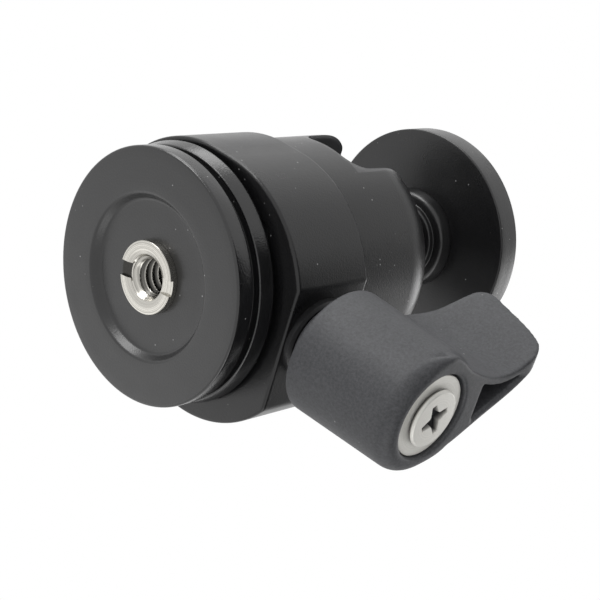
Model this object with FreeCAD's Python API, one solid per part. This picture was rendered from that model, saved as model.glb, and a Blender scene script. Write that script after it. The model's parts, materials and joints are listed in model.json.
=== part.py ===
import FreeCAD, Part
import math
import os

# Compact ball head: a round foot with a tripod thread, an egg shaped two part housing, a ball on
# a short neck under a round camera platform, and one lever knob that locks the ball.
# Millimetres. Z runs up the head's own axis, X points at the knob, and the ball drops towards -Y.
# The origin is the centre of the foot's underside.

V = FreeCAD.Vector

# Foot disc and its thread
disc_radius = 19.0
disc_height = 2.8
disc_edge = 0.4
recess_radius = 12.1
recess_depth = 1.3
recess_slope = 0.6
tripod_thread_radius = 4.76
camera_thread_radius = 3.175
bushing_flange_radius = 5.45
bushing_length = 8.6
bushing_edge = 0.2
bushing_slot_width = 2.3
bushing_slot_depth = 0.5
bushing_slot_angle = -9.0

# Ring between the foot disc and the housing
groove_height = 1.4
groove_depth = 1.2
flare_bottom_radius = 18.9
flare_top_radius = 19.5
flare_height = 2.3
flare_edge = 0.25
shadow_gap = 0.9
shadow_depth = 1.5

# Lower housing
body_radius = 20.0
boss_offset = 3.5
boss_back_offset = 5.2
boss_cut = 1.7
boss_corner = 1.6
lower_height = 14.7
lower_edge = 0.4
lower_rim_edge = 0.3
floor_thickness = 2.5
cavity_ledge = 2.55
upstand_height = 3.5
shaft_above_foot = 6.55

# Upper housing
upper_step = 1.1
upper_height = 23.35
shoulder_height = 6.75
shoulder_inset = 4.9
lip_clearance = 0.25
lip_edge = 0.5
collar_wall = 3.3
notch_half_width = 6.3
notch_flare = 0.35
notch_depth = 13.25
notch_corner = 3.6
notch_lip = 1.4

# Ball and seats
ball_gap = 1.6
ball_below_rim = 7.45
seat_ring_height = 4.4
seat_ring_drop = 0.7
lower_seat_top_gap = 1.0
skirt_above_shaft = 0.35

# Neck and flange under the platform
neck_radius = 5.3
neck_root = 1.4
neck_reach = 8.1
collar_radius = 6.6
collar_height = 1.1
flange_radius = 8.3
flange_height = 2.5
flange_edge = 0.3
spigot_radius = 4.0
spigot_height = 2.2

# Platform, pad and camera stud
platform_radius = 19.0
platform_height = 4.6
platform_edge = 0.45
pad_radius = 17.4
pad_hole_radius = 4.7
pad_thickness = 0.9
pad_proud = 0.35
stud_length = 5.2
stud_tip = 0.5
stud_shoulder_radius = 4.2
stud_shoulder_height = 1.2
stud_root_radius = 2.5
stud_root_length = 12.0

# Lock shaft, bush and wedge
shaft_radius = 3.0
shaft_nose_radius = 2.0
shaft_nose_length = 2.8
hex_flats = 5.4
bush_radius = 5.0
bush_setback = 0.35
bush_flange_radius = 6.2
bush_flange = 1.2
wedge_length = 14.0
wedge_width = 10.0
wedge_end = 5.0
wedge_angle = 15.0
clip_radius = 3.85
clip_groove_radius = 2.4
clip_thickness = 0.6
clip_gap = 0.9
clip_mouth = 3.4

# Knob with its wing
hub_gap = 0.5
knob_hub_radius = 6.4
knob_hub = 2.2
knob_inner_radius = 9.7
knob_outer_radius = 9.25
knob_length = 18.7
knob_inner_edge = 0.35
knob_round = 2.4
wing_reach = 27.2
wing_wall = 1.25
wing_round = 2.4
wing_round_inset = 0.7
pocket_start = 10.2
pocket_depth = 11.5
washer_recess_radius = 6.85
washer_recess = 1.45
insert_flats = 9.0
washer_radius = 6.25
washer_thickness = 0.85
screw_radius = 2.0
screw_length = 10.0
screw_head_radius = 4.4
screw_head = 1.0
screw_head_edge = 0.35

# Small screws
base_screw_head = 1.6
base_screw_web = 0.3
housing_screw_radius = 1.0
housing_screw_head_radius = 1.8
housing_screw_head = 1.9
housing_screw_bite = 6.0

# Clearances, in the order tight, running and loose, and one overrun for every cut
thread_clearance = 0.03
running_clearance = 0.05
loose_clearance = 0.15
overrun = 30.0

# Shares of the sizes that they follow
screw_angles = (45.0, 135.0, 225.0, 315.0)
hub_share = 0.38
base_screw_share = 0.23
base_screw_head_share = 0.385
shoulder_steps = 12
wing_round_shares = (0.0, 0.35, 0.6, 0.8, 0.92, 1.0)
# The wing seen along the knob's axis: across the wing and along it, as shares of the knob's
# outer radius and of the wing's reach, up the hollow side and back down the full side.
wing_hollow_shares = (
    (-1.0, 0.0), (-0.874, 0.121), (-0.71, 0.202), (-0.568, 0.298), (-0.47, 0.386), (-0.393, 0.544),
    (-0.47, 0.676), (-0.645, 0.772), (-0.82, 0.904), (-0.896, 1.0),
)
wing_full_shares = (
    (-0.68, 1.0), (-0.5, 0.89), (-0.3, 0.785), (-0.17, 0.737), (0.12, 0.607), (0.34, 0.47),
    (0.55, 0.33), (0.69, 0.2), (0.78, 0.0),
)
# The wing seen from the side: along the knob and along the wing, as shares of the knob's length
# and of the wing's reach, from the inner edge over the tip to the outer edge.
wing_side_shares = (
    (0.0, 0.4), (0.0, 0.5), (0.03, 0.62), (0.1, 0.72), (0.145, 0.8), (0.175, 0.9), (0.21, 0.965),
    (0.28, 0.995), (0.4, 0.985), (0.6, 0.945), (0.8, 0.9), (0.93, 0.845), (1.0, 0.76),
)
pocket_tip_share = 0.75

# Levels along the axis, from the foot up
ring_z = disc_height
flare_z = ring_z + groove_height
flare_top_z = flare_z + flare_height
housing_z = flare_top_z + shadow_gap
floor_z = housing_z + floor_thickness
parting_z = housing_z + lower_height
upstand_z = parting_z + upstand_height
rim_z = parting_z + upper_height
ball_z = rim_z - ball_below_rim
shaft_z = housing_z + shaft_above_foot
upper_radius = body_radius - upper_step
bore_radius = upper_radius - collar_wall
cavity_radius = bore_radius - cavity_ledge
ball_radius = bore_radius - ball_gap
lower_seat_radius = cavity_radius - running_clearance
housing_screw_circle = bore_radius + collar_wall / 2
hub_radius = hub_share * body_radius
screw_space = cavity_radius - hub_radius
base_screw_radius = base_screw_share * screw_space
base_screw_head_radius = base_screw_head_share * screw_space
base_screw_circle = hub_radius + screw_space / 2
base_screw_end = recess_depth + base_screw_web
bowl_radius = ball_radius + running_clearance
flange_z = ball_z + ball_radius + neck_reach
platform_z = flange_z + flange_height
platform_top_z = platform_z + platform_height
pad_z = platform_top_z + pad_proud - pad_thickness
pad_top_z = platform_top_z + pad_proud
pocket_z = pad_z
skirt_z = shaft_z + shaft_radius + skirt_above_shaft
wedge_z = floor_z + loose_clearance
lower_seat_top_z = upstand_z + lower_seat_top_gap + upstand_height
seat_ring_z = ball_z + seat_ring_drop
lip_under_z = seat_ring_z + seat_ring_height

# Places along the knob's axis
boss_face = boss_offset + body_radius - boss_cut
bush_inner = cavity_radius + bush_setback
bush_face = boss_face + bush_flange
knob_hub_x = bush_face + hub_gap
knob_x = knob_hub_x + knob_hub
knob_end = knob_x + knob_length
recess_floor = knob_end - washer_recess
washer_face = recess_floor + washer_thickness
shaft_shoulder = wedge_end + running_clearance
hex_start = knob_x + knob_hub
shaft_end = recess_floor - loose_clearance


def polygon(points):
    """Closed flat face through points in order."""
    return Part.Face(Part.makePolygon(list(points) + [points[0]]))


def turned(profile, centre_z=0.0):
    """Solid of revolution about Z from a closed list of (radius, height)."""
    face = polygon([V(radius, 0, centre_z + height) for radius, height in profile])
    return face.revolve(V(0, 0, 0), V(0, 0, 1), 360)


def rod(radius, low, high, x=0.0, y=0.0):
    """Upright cylinder between two levels."""
    return Part.makeCylinder(radius, high - low, V(x, y, low))


def along_x(shape):
    """Lays a shape built on +Z along +X, on the level of the lock shaft."""
    laid = shape.copy()
    laid.rotate(V(0, 0, 0), V(0, 1, 0), 90)
    laid.translate(V(0, 0, shaft_z))
    return laid


def around(angles, radius):
    """Points on a circle about the axis, one for each angle in degrees."""
    return [(radius * math.cos(math.radians(a)), radius * math.sin(math.radians(a))) for a in angles]


def hexagon(flats, low, high):
    """Upright six sided bar of a given width across its flats."""
    corner = flats / 2 / math.cos(math.pi / 6)
    corners = [V(corner * math.cos(i * math.pi / 3), corner * math.sin(i * math.pi / 3), low) for i in range(6)]
    return polygon(corners).extrude(V(0, 0, high - low))


def fused(shapes):
    """One solid out of several that touch."""
    return shapes[0].fuse(shapes[1:]).removeSplitter()


def egg_face(level):
    """Egg outline: a circle about the axis and one moved towards the knob, joined by straight
    sides and cut flat at the boss, with its two upright corners rounded. Its +Y side is fuller."""
    inner = body_radius - boss_corner

    def half(sign, offset):
        """Arcs of one side, from the straight side to the flat of the boss."""
        reach = boss_face - offset
        centre_reach = reach - boss_corner
        centre_half = math.sqrt(inner ** 2 - centre_reach ** 2)
        wide = math.sqrt(body_radius ** 2 - reach ** 2)
        lean = math.atan2(centre_half, centre_reach)
        middle = (math.pi / 2 + math.atan2(wide, reach)) / 2
        corner_x = offset + centre_reach

        def at(x, y):
            return V(x, sign * y, level)

        side_end = at(offset, body_radius)
        shoulder = at(offset + body_radius * math.cos(middle), body_radius * math.sin(middle))
        touch = at(offset + body_radius * math.cos(lean), body_radius * math.sin(lean))
        corner_mid = at(
            corner_x + boss_corner * math.cos(lean / 2), centre_half + boss_corner * math.sin(lean / 2)
        )
        face_end = at(boss_face, centre_half)
        edges = [
            Part.LineSegment(at(0, body_radius), side_end).toShape(),
            Part.Arc(side_end, shoulder, touch).toShape(),
            Part.Arc(touch, corner_mid, face_end).toShape(),
        ]
        return edges, face_end

    back, back_end = half(1, boss_back_offset)
    front, front_end = half(-1, boss_offset)
    round_side = Part.Arc(V(0, body_radius, level), V(-body_radius, 0, level), V(0, -body_radius, level)).toShape()
    flat = Part.LineSegment(front_end, back_end).toShape()
    return Part.Face(Part.Wire(Part.__sortEdges__([round_side, flat] + back + front)))


def level_edges(shape, level):
    """Edges of a shape that lie on one level."""
    near = loose_clearance
    return [e for e in shape.Edges if abs(e.BoundBox.ZMin - level) < near and abs(e.BoundBox.ZMax - level) < near]


def cone_edge(radius, edge, low, high):
    """Cylinder with both ends chamfered, as a profile of (radius, height)."""
    return [(0, low), (radius - edge, low), (radius, low + edge), (radius, high - edge), (radius - edge, high), (0, high)]


def make_base_disc():
    """Foot disc: a shallow recess underneath, and a threaded hub that reaches into the housing."""
    rim_inner = recess_radius - recess_slope
    profile = [
        (tripod_thread_radius + thread_clearance, recess_depth),
        (rim_inner, recess_depth),
        (recess_radius, 0),
        (disc_radius - disc_edge, 0),
        (disc_radius, disc_edge),
        (disc_radius, disc_height - disc_edge / 2),
        (disc_radius - disc_edge / 2, disc_height),
        (hub_radius, disc_height),
        (hub_radius, floor_z),
        (tripod_thread_radius + thread_clearance, floor_z),
    ]
    holes = [
        rod(base_screw_radius + thread_clearance, base_screw_end, disc_height + overrun, x, y)
        for x, y in around(screw_angles, base_screw_circle)
    ]
    return turned(profile).cut(holes)


def make_thread_bushing():
    """Reducing bushing: large thread outside, small thread inside, slotted flange underneath."""
    profile = [
        (camera_thread_radius, 0),
        (bushing_flange_radius - bushing_edge, 0),
        (bushing_flange_radius, bushing_edge),
        (bushing_flange_radius, recess_depth),
        (tripod_thread_radius, recess_depth),
        (tripod_thread_radius, bushing_length),
        (camera_thread_radius, bushing_length),
    ]
    slot = Part.makeBox(
        2 * overrun, bushing_slot_width, bushing_slot_depth + overrun,
        V(-overrun, -bushing_slot_width / 2, -overrun),
    )
    slot.rotate(V(0, 0, 0), V(0, 0, 1), bushing_slot_angle)
    return turned(profile).cut(slot)


def make_foot_ring():
    """Flared ring that stands the housing off the foot disc and leaves a dark groove on each side."""
    inner = hub_radius + loose_clearance
    profile = [
        (inner, ring_z),
        (flare_bottom_radius - groove_depth, ring_z),
        (flare_bottom_radius - groove_depth, flare_z),
        (flare_bottom_radius - flare_edge, flare_z),
        (flare_bottom_radius, flare_z + flare_edge),
        (flare_top_radius, flare_top_z - flare_edge),
        (flare_top_radius - flare_edge, flare_top_z),
        (flare_top_radius - shadow_depth, flare_top_z),
        (flare_top_radius - shadow_depth, housing_z),
        (inner, housing_z),
    ]
    holes = [
        rod(base_screw_radius + loose_clearance, ring_z - overrun, housing_z + overrun, x, y)
        for x, y in around(screw_angles, base_screw_circle)
    ]
    return turned(profile).cut(holes)


def make_lower_housing():
    """Lower housing: egg shaped shell with rounded edges, a floor, a round cavity for the lock,
    an upstand that centres the upper housing, and the boss that carries the shaft bush."""
    wall = egg_face(housing_z).extrude(V(0, 0, lower_height))
    wall = wall.makeFillet(lower_edge, level_edges(wall, housing_z))
    wall = wall.makeFillet(lower_rim_edge, level_edges(wall, parting_z))
    upstand = rod(bore_radius - running_clearance, parting_z - lower_edge, upstand_z)
    body = fused([wall, upstand])
    cuts = [
        rod(cavity_radius, floor_z, upstand_z + overrun),
        rod(hub_radius + loose_clearance, housing_z - overrun, floor_z + overrun),
        along_x(rod(bush_radius + thread_clearance, 0, boss_face + overrun)),
    ]
    for x, y in around(screw_angles, base_screw_circle):
        cuts.append(rod(base_screw_radius + loose_clearance, housing_z - overrun, floor_z + overrun, x, y))
    for x, y in around(screw_angles, housing_screw_circle):
        cuts.append(rod(housing_screw_radius + loose_clearance, housing_z - overrun, upstand_z + overrun, x, y))
        cuts.append(
            rod(housing_screw_head_radius + loose_clearance, housing_z - overrun, housing_z + housing_screw_head, x, y)
        )
    return body.cut(cuts)


def notch_cutter():
    """Flat sided cutter for the drop notch: rounded at the bottom, flared at the mouth."""
    bottom = rim_z - notch_depth
    low = notch_half_width
    high = notch_half_width + notch_flare
    turn = notch_corner * math.sqrt(0.5)
    lip = notch_lip * math.sqrt(0.5)

    def at(x, z):
        return V(x, 0, z)

    def half(sign):
        return [
            Part.Arc(
                at(sign * (low - notch_corner), bottom),
                at(sign * (low - notch_corner + turn), bottom + notch_corner - turn),
                at(sign * low, bottom + notch_corner),
            ).toShape(),
            Part.LineSegment(
                at(sign * low, bottom + notch_corner), at(sign * high, rim_z - notch_lip)
            ).toShape(),
            Part.Arc(
                at(sign * high, rim_z - notch_lip),
                at(sign * (high + notch_lip - lip), rim_z - notch_lip + lip),
                at(sign * (high + notch_lip), rim_z),
            ).toShape(),
            Part.LineSegment(
                at(sign * (high + notch_lip), rim_z), at(sign * (high + notch_lip), rim_z + overrun)
            ).toShape(),
        ]

    floor_edge = Part.LineSegment(at(notch_corner - low, bottom), at(low - notch_corner, bottom)).toShape()
    top_edge = Part.LineSegment(
        at(high + notch_lip, rim_z + overrun), at(-high - notch_lip, rim_z + overrun)
    ).toShape()
    edges = Part.__sortEdges__(half(1) + [top_edge] + half(-1) + [floor_edge])
    return Part.Face(Part.Wire(edges)).extrude(V(0, -overrun, 0))


def make_upper_housing():
    """Upper housing: a round collar with a rolled shoulder, bored for the ball and its seat ring,
    with a lip over the ring and the drop notch in its rim."""
    mouth_radius = math.sqrt(ball_radius ** 2 - (lip_under_z - ball_z) ** 2) + lip_clearance
    shoulder = []
    for i in range(shoulder_steps + 1):
        turn = math.pi / 2 * i / shoulder_steps
        shoulder.append(V(
            upper_radius - shoulder_inset * (1 - math.cos(turn)), 0,
            rim_z - shoulder_height * (1 - math.sin(turn)),
        ))
    curve = Part.BSplineCurve()
    curve.interpolate(shoulder)
    corners = [
        shoulder[-1],
        V(mouth_radius + lip_edge, 0, rim_z),
        V(mouth_radius, 0, rim_z - lip_edge),
        V(mouth_radius, 0, lip_under_z),
        V(bore_radius, 0, lip_under_z),
        V(bore_radius, 0, parting_z),
        V(upper_radius, 0, parting_z),
        shoulder[0],
    ]
    edges = [curve.toShape()]
    for first, second in zip(corners, corners[1:]):
        edges.append(Part.LineSegment(first, second).toShape())
    skin = Part.Face(Part.Wire(edges)).revolve(V(0, 0, 0), V(0, 0, 1), 360)
    cuts = [notch_cutter()]
    for x, y in around(screw_angles, housing_screw_circle):
        cuts.append(
            rod(housing_screw_radius + thread_clearance, parting_z - overrun, parting_z + housing_screw_bite, x, y)
        )
    return skin.cut(cuts)


def make_upper_seat():
    """Seat ring above the ball, open where the neck drops into the notch."""
    ring = rod(bore_radius - running_clearance, seat_ring_z, lip_under_z)
    sphere = Part.makeSphere(bowl_radius, V(0, 0, ball_z))
    gap = notch_half_width + notch_flare
    slot = Part.makeBox(2 * gap, overrun, overrun, V(-gap, -overrun, seat_ring_z - seat_ring_height))
    return ring.cut([sphere, slot])


def wedge_prism(half_width, rise, start, end, low):
    """Prism along X whose top climbs towards the knob at the wedge angle, raised by rise."""
    slope = math.tan(math.radians(wedge_angle))
    foot = wedge_end - wedge_length
    top_start = skirt_z + rise + slope * (start - foot)
    top_end = skirt_z + rise + slope * (end - foot)
    face = polygon([
        V(start, -half_width, low), V(end, -half_width, low),
        V(end, -half_width, top_end), V(start, -half_width, top_start),
    ])
    return face.extrude(V(0, 2 * half_width, 0))


def make_lower_seat():
    """Piston under the ball: a spherical bowl on top, a sloping channel for the wedge below."""
    body = rod(lower_seat_radius, skirt_z, lower_seat_top_z)
    bowl = Part.makeSphere(bowl_radius, V(0, 0, ball_z))
    channel = wedge_prism(
        wedge_width / 2 + loose_clearance, running_clearance, wedge_end - wedge_length - loose_clearance * 4,
        overrun, skirt_z - overrun,
    )
    return body.cut([bowl, channel])


def make_lock_wedge():
    """Wedge that the shaft pushes across the floor to lift the lower seat."""
    wedge = wedge_prism(wedge_width / 2, 0, wedge_end - wedge_length, wedge_end, wedge_z)
    socket = along_x(rod(shaft_nose_radius + running_clearance, wedge_end - shaft_nose_length - loose_clearance, overrun))
    return wedge.cut(socket)


def make_lock_shaft():
    """Lock shaft: nose in the wedge, threaded barrel, clip groove, six sided end for the knob."""
    groove = bush_inner - clip_gap - clip_thickness
    nose = rod(shaft_nose_radius, shaft_shoulder - shaft_nose_length, shaft_shoulder)
    barrel = rod(shaft_radius, shaft_shoulder, hex_start)
    drive = hexagon(hex_flats, hex_start, shaft_end)
    blank = fused([nose, barrel, drive])
    ring_cut = rod(shaft_radius + overrun, groove, groove + clip_thickness + running_clearance).cut(
        rod(clip_groove_radius, groove - overrun, groove + overrun)
    )
    tapped = rod(screw_radius + thread_clearance, washer_face - screw_length - loose_clearance, shaft_end + overrun)
    return along_x(blank.cut([ring_cut, tapped]))


def make_stop_ring():
    """Open clip in the shaft's groove that keeps the shaft from leaving its bush."""
    groove = bush_inner - clip_gap - clip_thickness
    ring = rod(clip_radius, groove, groove + clip_thickness)
    hole = rod(clip_groove_radius + thread_clearance, groove - overrun, groove + overrun)
    mouth = Part.makeBox(overrun, clip_mouth, 2 * overrun, V(0, -clip_mouth / 2, groove - overrun))
    return along_x(ring.cut([hole, mouth]))


def make_shaft_bush():
    """Threaded bush pressed into the boss, with a flange on the boss face."""
    profile = [
        (shaft_radius + running_clearance, bush_inner),
        (bush_radius, bush_inner),
        (bush_radius, boss_face),
        (bush_flange_radius, boss_face),
        (bush_flange_radius, bush_face - disc_edge),
        (bush_flange_radius - disc_edge, bush_face),
        (shaft_radius + running_clearance, bush_face),
    ]
    return along_x(turned(profile))


def wing_section(x, hollow_inset, full_inset, top):
    """Closed outline of the wing across the knob's axis at x, up to the share top of its reach,
    with its hollow side and its full side drawn in by their insets."""
    hollow = [(a * knob_outer_radius + hollow_inset, b * wing_reach) for a, b in wing_hollow_shares if b <= top]
    full = [(a * knob_outer_radius - full_inset, b * wing_reach) for a, b in wing_full_shares if b <= top]

    def curve(side):
        spline = Part.BSplineCurve()
        spline.interpolate([V(x, a, shaft_z + b) for a, b in side])
        return spline.toShape()

    def line(first, second):
        return Part.LineSegment(V(x, first[0], shaft_z + first[1]), V(x, second[0], shaft_z + second[1])).toShape()

    return Part.Wire([curve(hollow), line(hollow[-1], full[0]), curve(full), line(full[-1], hollow[0])])


def wing_blade():
    """The wing over the knob's length, with the outer edge of its full side rounded."""
    start = knob_end - wing_round
    blade = Part.Face(wing_section(knob_x, 0, 0, 1)).extrude(V(start - knob_x, 0, 0))
    sections = []
    for share in wing_round_shares:
        drop = wing_round_inset * (1 - math.sqrt(1 - share ** 2))
        sections.append(wing_section(start + wing_round * share, 0, drop, 1))
    return blade.fuse(Part.makeLoft(sections, True, False))


def wing_side():
    """The wing seen from the side: hollow root, leaning inner edge, rounded and sloping tip."""
    points = [
        V(knob_x + a * knob_length, -overrun, shaft_z + b * wing_reach) for a, b in wing_side_shares
    ]
    curve = Part.BSplineCurve()
    curve.interpolate(points)
    corners = [points[-1], V(knob_end, -overrun, shaft_z), V(knob_x, -overrun, shaft_z), points[0]]
    edges = [curve.toShape()]
    for first, second in zip(corners, corners[1:]):
        edges.append(Part.LineSegment(first, second).toShape())
    return Part.Face(Part.Wire(edges)).extrude(V(0, 2 * overrun, 0))


def make_knob_lever():
    """Moulded knob: tapered barrel with a rounded end, a curved hollow wing and a washer recess."""
    steps = 6
    profile = [
        (0, knob_hub_x),
        (knob_hub_radius, knob_hub_x),
        (knob_hub_radius, knob_x),
        (knob_inner_radius - knob_inner_edge, knob_x),
        (knob_inner_radius, knob_x + knob_inner_edge),
    ]
    for i in range(steps + 1):
        angle = math.pi / 2 * i / steps
        profile.append((
            knob_outer_radius - knob_round * (1 - math.cos(angle)),
            knob_end - knob_round * (1 - math.sin(angle)),
        ))
    profile.append((0, knob_end))
    barrel = along_x(turned(profile))
    blade = wing_blade().common(wing_side())
    pocket_x = knob_end - pocket_depth
    pocket = Part.Face(wing_section(pocket_x, wing_wall, wing_wall, pocket_tip_share)).extrude(V(overrun, 0, 0))
    pocket = pocket.common(Part.makeBox(overrun, 2 * overrun, overrun, V(pocket_x, -overrun, shaft_z + pocket_start)))
    cuts = [
        pocket,
        along_x(rod(washer_recess_radius, recess_floor, knob_end + overrun)),
        along_x(hexagon(insert_flats + thread_clearance * 2, hex_start, recess_floor + overrun)),
        along_x(rod(shaft_radius + loose_clearance, knob_hub_x - overrun, hex_start + overrun)),
    ]
    return fused([barrel, blade]).cut(cuts)


def make_knob_insert():
    """Six sided metal insert moulded into the knob, with the shaft's six sided hole."""
    outer = hexagon(insert_flats, hex_start, recess_floor)
    inner = hexagon(hex_flats + thread_clearance * 2, hex_start - overrun, recess_floor + overrun)
    return along_x(outer.cut(inner))


def make_knob_washer():
    """Plain washer in the knob's end."""
    profile = [
        (screw_radius + loose_clearance, recess_floor),
        (washer_radius, recess_floor),
        (washer_radius, washer_face),
        (screw_radius + loose_clearance, washer_face),
    ]
    return along_x(turned(profile))


def make_knob_screw():
    """Pan head screw that holds the knob on the shaft."""
    top = washer_face + screw_head
    profile = [
        (0, washer_face - screw_length),
        (screw_radius, washer_face - screw_length),
        (screw_radius, washer_face),
        (screw_head_radius, washer_face),
        (screw_head_radius, top - screw_head_edge),
        (screw_head_radius - screw_head_edge, top),
        (0, top),
    ]
    return along_x(turned(profile))


def make_ball():
    """Plain ball."""
    return Part.makeSphere(ball_radius, V(0, 0, ball_z))


def make_ball_stem():
    """Neck, collar and flange turned from one bar: its foot is hollowed to the ball, and it is
    bored for the stud of the camera platform."""
    neck_start = ball_z + math.sqrt(ball_radius ** 2 - neck_radius ** 2) - neck_root
    top = platform_z + spigot_height
    profile = [
        (0, neck_start),
        (neck_radius, neck_start),
        (neck_radius, flange_z - collar_height),
        (collar_radius, flange_z - collar_height),
        (collar_radius, flange_z),
        (flange_radius - flange_edge, flange_z),
        (flange_radius, flange_z + flange_edge),
        (flange_radius, platform_z),
        (spigot_radius, platform_z),
        (spigot_radius, top),
        (0, top),
    ]
    root_z = pocket_z - stud_shoulder_height - stud_root_length
    sphere = Part.makeSphere(bowl_radius, V(0, 0, ball_z))
    return turned(profile).cut([sphere, rod(stud_root_radius + running_clearance, root_z, top + overrun)])


def make_platform_disc():
    """Camera platform: a pocket for its pad, a seat for the stud and a bearing for the spigot."""
    body = turned(cone_edge(platform_radius, platform_edge, platform_z, platform_top_z))
    return body.cut([
        rod(pad_radius + loose_clearance, pocket_z, platform_top_z + overrun),
        rod(stud_shoulder_radius + thread_clearance, pocket_z - stud_shoulder_height, platform_top_z + overrun),
        rod(stud_root_radius + loose_clearance, platform_z - overrun, platform_top_z + overrun),
        rod(spigot_radius + running_clearance, platform_z - overrun, platform_z + spigot_height + loose_clearance),
    ])


def make_platform_pad():
    """Rubber ring that the camera rests on."""
    return rod(pad_radius, pocket_z, pad_top_z).cut(rod(pad_hole_radius, pocket_z - overrun, pad_top_z + overrun))


def make_camera_stud():
    """Camera stud: thread above the pad, a shoulder in the platform, a root in the neck."""
    shoulder_z = pocket_z - stud_shoulder_height
    top = pad_top_z + stud_length
    profile = [
        (0, shoulder_z - stud_root_length + stud_tip),
        (stud_root_radius, shoulder_z - stud_root_length + stud_tip),
        (stud_root_radius, shoulder_z),
        (stud_shoulder_radius, shoulder_z),
        (stud_shoulder_radius, pocket_z),
        (camera_thread_radius, pocket_z),
        (camera_thread_radius, top - stud_tip),
        (camera_thread_radius - stud_tip, top),
        (0, top),
    ]
    return turned(profile)


def make_base_screws():
    """Screws from the housing floor through the ring into the foot disc."""
    screws = []
    for x, y in around(screw_angles, base_screw_circle):
        shank = rod(base_screw_radius, base_screw_end + loose_clearance, floor_z, x, y)
        head = rod(base_screw_head_radius, floor_z, floor_z + base_screw_head, x, y)
        screws.append(fused([shank, head]))
    return Part.makeCompound(screws)


def make_housing_screws():
    """Screws from under the lower housing up into the upper housing."""
    head_z = housing_z + housing_screw_head
    screws = []
    for x, y in around(screw_angles, housing_screw_circle):
        shank = rod(housing_screw_radius, head_z, parting_z + housing_screw_bite - loose_clearance, x, y)
        head = rod(housing_screw_head_radius, housing_z + loose_clearance, head_z, x, y)
        screws.append(fused([shank, head]))
    return Part.makeCompound(screws)


pieces = {
    "base_disc": make_base_disc,
    "thread_bushing": make_thread_bushing,
    "foot_ring": make_foot_ring,
    "base_screws": make_base_screws,
    "lower_housing": make_lower_housing,
    "upper_housing": make_upper_housing,
    "housing_screws": make_housing_screws,
    "upper_seat": make_upper_seat,
    "shaft_bush": make_shaft_bush,
    "lower_seat": make_lower_seat,
    "lock_wedge": make_lock_wedge,
    "lock_shaft": make_lock_shaft,
    "stop_ring": make_stop_ring,
    "knob_lever": make_knob_lever,
    "knob_insert": make_knob_insert,
    "knob_washer": make_knob_washer,
    "knob_screw": make_knob_screw,
    "ball": make_ball,
    "ball_stem": make_ball_stem,
    "platform_disc": make_platform_disc,
    "platform_pad": make_platform_pad,
    "camera_stud": make_camera_stud,
}

os.makedirs("parts", exist_ok=True)
for name, make in pieces.items():
    shape = make()
    shape.exportStep("parts/" + name + ".step")
    box = shape.BoundBox
    print(
        name, len(shape.Solids), "solid", shape.isValid(), round(shape.Volume, 1),
        [round(v, 2) for v in (box.XMin, box.YMin, box.ZMin, box.XMax, box.YMax, box.ZMax)],
    )
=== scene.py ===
import json
import math

import bmesh
import bpy
import numpy as np
from bpy.props import FloatProperty, FloatVectorProperty, IntProperty, PointerProperty
from mathutils import Matrix, Vector


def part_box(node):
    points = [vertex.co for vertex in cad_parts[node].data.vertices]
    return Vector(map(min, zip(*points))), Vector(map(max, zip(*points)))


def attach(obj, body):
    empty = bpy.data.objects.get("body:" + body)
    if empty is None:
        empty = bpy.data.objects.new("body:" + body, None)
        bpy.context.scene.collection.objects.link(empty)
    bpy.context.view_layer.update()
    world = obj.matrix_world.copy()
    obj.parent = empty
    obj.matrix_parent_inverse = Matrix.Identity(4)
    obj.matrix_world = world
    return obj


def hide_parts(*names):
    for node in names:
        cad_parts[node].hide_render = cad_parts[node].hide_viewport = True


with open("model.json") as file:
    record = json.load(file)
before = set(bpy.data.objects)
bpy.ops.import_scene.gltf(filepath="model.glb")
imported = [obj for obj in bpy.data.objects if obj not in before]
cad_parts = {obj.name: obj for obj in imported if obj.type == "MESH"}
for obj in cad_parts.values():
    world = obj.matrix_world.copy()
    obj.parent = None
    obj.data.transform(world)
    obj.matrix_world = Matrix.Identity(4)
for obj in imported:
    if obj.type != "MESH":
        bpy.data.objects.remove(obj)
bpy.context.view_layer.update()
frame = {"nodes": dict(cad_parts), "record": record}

bl_info = {
    "name": "Ball head",
    "version": (1, 0, 0),
    "blender": (4, 5, 0),
    "location": "3D View > Sidebar > Ball head",
    "description": "Dresses a compact camera ball head and sets it on a plain studio stage",
    "category": "Object",
}

# Shapes are worked out in millimetres and given to the scene in metres
MM = 0.001
# Points nearer than this, in metres, are one point: in a new surface and in a solid's mesh
SEAM = 2e-6
SOLID_SEAM = 1e-6
# Radius of a quarter inch thread
THREAD_RADIUS = 3.175
# Rounding of an edge that is left nearly sharp
FINE = 0.05
# Points on each rounded corner of a profile
ROUND_STEPS = 6


def low(node):
    """Lowest corner of a solid, in millimetres."""
    return np.array(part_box(node)[0]) / MM


def high(node):
    """Highest corner of a solid, in millimetres."""
    return np.array(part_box(node)[1]) / MM


SHAFT_Z = float(low("lock_shaft")[2] + high("lock_shaft")[2]) / 2


# Sizes and colours that a user may change

def size(name, text, value):
    """A length in millimetres shown in the panel."""
    return FloatProperty(name=name, description=text, default=value, min=0, precision=3)


def colour(name, text, value):
    """A colour shown in the panel."""
    return FloatVectorProperty(
        name=name, description=text, default=value, subtype="COLOR", size=3, min=0, max=1,
    )


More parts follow.
